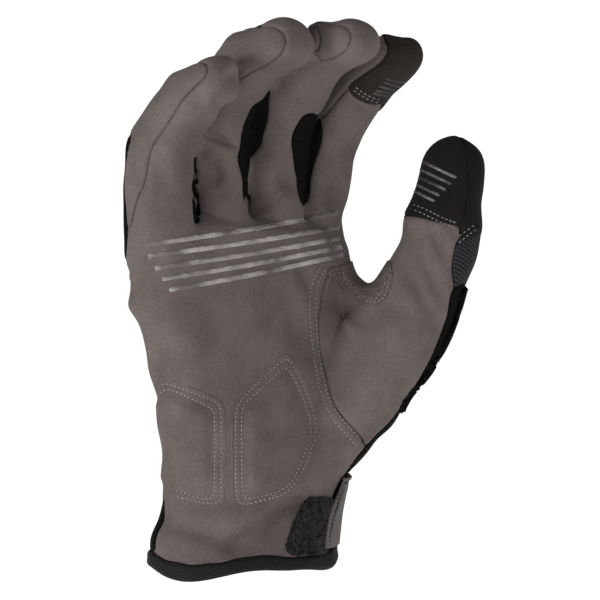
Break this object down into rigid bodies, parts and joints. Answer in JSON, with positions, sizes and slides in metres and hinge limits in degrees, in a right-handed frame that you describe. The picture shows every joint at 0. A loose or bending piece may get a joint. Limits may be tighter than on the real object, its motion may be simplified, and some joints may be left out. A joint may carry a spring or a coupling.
{
  "type": "right-hand impact work glove",
  "caption": "Right-hand work glove with a suede palm, padded heel, printed grip bars, mesh back, moulded knuckle guard and a hook-and-loop wrist tab, in its worn form.",
  "frame": {"origin": "middle of the cuff opening, at the lowest level of the hem", "axes": "+Z from the cuff to the fingertips, the palm faces -Y, the thumb is on the +X side"},
  "size_m": [0.1366, 0.0911, 0.2117],
  "materials": {
    "suede": "napped matt, warm grey",
    "dark_suede": "napped matt, black-brown",
    "patch_suede": "napped matt, darker grey",
    "mesh": "open knitted mesh, black",
    "knit": "ribbed stretch knit, black",
    "binding": "woven elastic binding, black",
    "silicone": "printed silicone, silvery, satin",
    "moulded_rubber": "moulded, light grey, satin",
    "tab_rubber": "moulded, dark grey, satin",
    "hook_loop": "fuzzy hook-and-loop pile, black"
  },
  "bodies": {
    "root": {"palm_panel": "suede", "thumb_panel": "suede", "pinky_side_panel": "suede", "ring_tip_panel": "suede", "middle_tip_panel": "suede", "index_tip_panel": "suede", "heel_pad_outer": "suede", "heel_pad_centre": "suede", "wrist_tab": "suede", "crotch_patch": "patch_suede", "index_cap": "dark_suede", "thumb_cap_front": "dark_suede", "thumb_cap_back": "dark_suede", "back_panel": "mesh", "thumb_edge_patch": "mesh", "thumb_back": "knit", "cuff_binding": "binding", "loop_patch": "hook_loop", "wrist_tab_grip": "tab_rubber", "knuckle_guard": "moulded_rubber", "palm_grip_bar_1": "silicone", "palm_grip_bar_2": "silicone", "palm_grip_bar_3": "silicone", "palm_grip_bar_4": "silicone", "palm_grip_bar_5": "silicone", "thumb_grip_bar_1": "silicone", "thumb_grip_bar_2": "silicone", "thumb_grip_bar_3": "silicone", "thumb_grip_bar_4": "silicone", "thumb_grip_bar_5": "silicone", "index_grip_bar_1": "silicone", "index_grip_bar_2": "silicone", "index_grip_bar_3": "silicone", "index_grip_bar_4": "silicone", "index_grip_bar_5": "silicone"}
  },
  "joints": []
}
